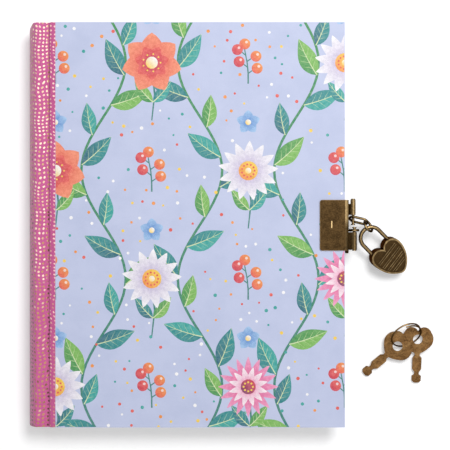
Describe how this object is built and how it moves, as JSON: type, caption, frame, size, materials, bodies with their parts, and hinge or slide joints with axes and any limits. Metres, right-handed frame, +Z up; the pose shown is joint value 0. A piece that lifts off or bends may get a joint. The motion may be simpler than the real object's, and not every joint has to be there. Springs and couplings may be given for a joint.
{
  "type": "diary with lock",
  "caption": "Hardback diary with a rounded cloth spine, a clasp at the fore-edge closed by a small heart-shaped padlock, and flat keys on a split ring beside it.",
  "frame": {"origin": "middle of the back cover's outer face, where the diary lies on the table", "axes": "+X from the spine to the fore-edge, +Y to the head of the book, +Z up through the front cover"},
  "size_m": [0.2136, 0.2102, 0.0209],
  "materials": {
    "cover_paper": "matt printed paper",
    "cloth": "woven cloth with gold dots",
    "board": "grey board",
    "endpaper": "smooth paper",
    "leaf_paper": "writing paper",
    "lining": "open woven lining",
    "band": "woven silk band",
    "bronze": "antique bronze plating",
    "wire": "antique bronze wire",
    "lock_case": "antique bronze casting",
    "lock_works": "plain steel",
    "plug": "plain brass",
    "key_metal": "worn brass"
  },
  "bodies": {
    "book": {"back_board": "board", "back_paper": "cover_paper", "back_pastedown": "endpaper", "back_joint_cloth": "cloth", "spine_lining": "lining", "head_band": "band", "tail_band": "band", "section_1": "leaf_paper", "section_2": "leaf_paper", "section_3": "leaf_paper", "section_4": "leaf_paper", "section_5": "leaf_paper", "section_6": "leaf_paper", "section_7": "leaf_paper", "section_8": "leaf_paper", "back_flyleaf": "endpaper", "back_clip": "bronze", "back_pin": "wire"},
    "spine": {"spine_card": "board", "spine_cloth": "cloth"},
    "front_cover": {"front_board": "board", "front_paper": "cover_paper", "front_pastedown": "endpaper", "front_joint_cloth": "cloth", "front_clip": "bronze", "front_pin": "wire"},
    "flyleaf": {"front_flyleaf": "endpaper"},
    "first_leaf": {"leaf_1": "leaf_paper"},
    "second_leaf": {"leaf_2": "leaf_paper"},
    "third_leaf": {"leaf_3": "leaf_paper"},
    "fourth_leaf": {"leaf_4": "leaf_paper"},
    "front_loop": {"front_eye": "wire"},
    "back_loop": {"back_eye": "wire"},
    "link": {"link_ring": "wire"},
    "lock_shackle": {"shackle": "wire"},
    "padlock": {"case_front": "lock_case", "case_back": "lock_case", "case_rivets": "lock_works", "latch_spring": "lock_works"},
    "plug": {"key_plug": "plug"},
    "lock_latch": {"latch": "lock_works"},
    "key_ring": {"split_ring": "wire"},
    "first_key": {"key_1": "key_metal"},
    "second_key": {"key_2": "key_metal"}
  },
  "joints": [
    {"name": "cover_open", "type": "hinge", "parent": "spine", "child": "front_cover", "pos_m": [-0.07851, 0, 0.01863], "axis": [0, -1, 0], "range_deg": [0, 123]},
    {"name": "spine_tilt", "type": "hinge", "parent": "book", "child": "spine", "pos_m": [-0.07851, 0, 0.00137], "axis": [0, -1, 0], "range_deg": [0, 60.5]},
    {"name": "flyleaf_turn", "type": "hinge", "parent": "book", "child": "flyleaf", "pos_m": [-0.0766, 0, 0.01564], "axis": [0, -1, 0], "range_deg": [0, 148.1]},
    {"name": "first_leaf_turn", "type": "hinge", "parent": "book", "child": "first_leaf", "pos_m": [-0.0766, 0, 0.01564], "axis": [0, -1, 0], "range_deg": [0, 126]},
    {"name": "second_leaf_turn", "type": "hinge", "parent": "book", "child": "second_leaf", "pos_m": [-0.0766, 0, 0.01564], "axis": [0, -1, 0], "range_deg": [0, 102.6]},
    {"name": "third_leaf_turn", "type": "hinge", "parent": "book", "child": "third_leaf", "pos_m": [-0.0766, 0, 0.01564], "axis": [0, -1, 0], "range_deg": [0, 76.8]},
    {"name": "fourth_leaf_turn", "type": "hinge", "parent": "book", "child": "fourth_leaf", "pos_m": [-0.0766, 0, 0.01564], "axis": [0, -1, 0], "range_deg": [0, 49.7]},
    {"name": "front_loop_swing", "type": "hinge", "parent": "front_cover", "child": "front_loop", "pos_m": [0.08705, -0.0029, 0.0146], "axis": [0, -1, 0], "range_deg": [-30, 0]},
    {"name": "back_loop_swing", "type": "hinge", "parent": "book", "child": "back_loop", "pos_m": [0.08705, 0.0028, 0.008], "axis": [0, -1, 0], "range_deg": [0, 10]},
    {"name": "link_swing", "type": "hinge", "parent": "back_loop", "child": "link", "pos_m": [0.0945, 0.00122, 0.00984], "axis": [0.08, -0.5183, -0.8514], "range_deg": [0, 8]},
    {"name": "padlock_swing", "type": "hinge", "parent": "link", "child": "lock_shackle", "pos_m": [0.09526, -0.00143, 0.00897], "axis": [-0.9627, -0.2558, 0.0881], "range_deg": [0, 18]},
    {"name": "padlock_release", "type": "slide", "parent": "lock_shackle", "child": "padlock", "axis": [0.6964, -0.6964, -0.1736], "range_m": [0, 0.004]},
    {"name": "plug_turn", "type": "hinge", "parent": "padlock", "child": "plug", "pos_m": [0.10849, -0.01879, 0.00516], "axis": [0.6964, -0.6964, -0.1736], "range_deg": [0, 91]},
    {"name": "latch_slide", "type": "slide", "parent": "padlock", "child": "lock_latch", "axis": [0.7071, 0.7071, 0], "range_m": [0, 0.00142], "deforming": ["latch_spring"]},
    {"name": "keys_lift", "type": "slide", "parent": "book", "child": "key_ring", "axis": [0, 0, 1], "range_m": [0, 0.08]},
    {"name": "first_key_swing", "type": "hinge", "parent": "key_ring", "child": "first_key", "pos_m": [0.1112, -0.06455, 0.00345], "axis": [-0.0956, -0.0811, 0.9921], "range_deg": [-20, 20]},
    {"name": "second_key_swing", "type": "hinge", "parent": "key_ring", "child": "second_key", "pos_m": [0.1221, -0.061, 0.0024], "axis": [-0.0024, -0.0802, 0.9968], "range_deg": [-15, 15]}
  ],
  "couplings": [
    {"joint": "spine_tilt", "follows": "cover_open", "ratio": 0.4878},
    {"joint": "flyleaf_turn", "follows": "cover_open", "ratio": 1.2},
    {"joint": "first_leaf_turn", "follows": "cover_open", "ratio": 1.02},
    {"joint": "second_leaf_turn", "follows": "cover_open", "ratio": 0.83},
    {"joint": "third_leaf_turn", "follows": "cover_open", "ratio": 0.62},
    {"joint": "fourth_leaf_turn", "follows": "cover_open", "ratio": 0.4},
    {"joint": "plug_turn", "follows": "padlock_release", "rad_per_m": 392.69},
    {"joint": "latch_slide", "follows": "padlock_release", "ratio": 0.35}
  ]
}
